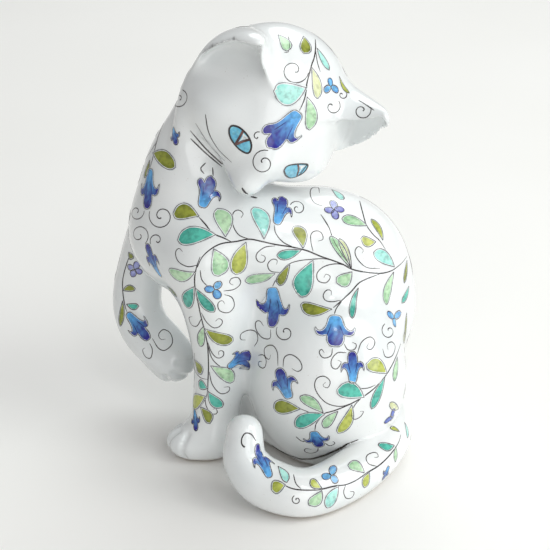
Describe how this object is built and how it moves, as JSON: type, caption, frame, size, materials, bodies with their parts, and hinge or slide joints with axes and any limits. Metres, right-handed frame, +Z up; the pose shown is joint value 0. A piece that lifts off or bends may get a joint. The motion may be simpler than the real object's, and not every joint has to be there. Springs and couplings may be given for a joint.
{
  "type": "ceramic cat figurine",
  "caption": "Seated glazed ceramic cat that looks back over its left shoulder, right forepaw raised, tail wrapped round its flank, painted with leaf and bell-flower vines.",
  "frame": {"origin": "on the flat base that the figurine rests on, under the torso", "axes": "+Z up, -X is the way the chest faces, -Y is the cat's left flank, towards which the face is turned"},
  "size_m": [0.2223, 0.2338, 0.3182],
  "materials": {
    "glaze": "glossy white tin glaze, faintly bluish",
    "leaf_enamel": "glossy fired enamel, olive to mint and teal",
    "flower_enamel": "glossy fired enamel, light blue to violet blue",
    "line_enamel": "fine dark brush lines under the glaze"
  },
  "bodies": {
    "root": {"torso_casting": "glaze", "head_casting": "glaze", "right_ear": "glaze", "left_ear": "glaze", "standing_foreleg": "glaze", "raised_foreleg": "glaze", "tail": "glaze"}
  },
  "joints": []
}
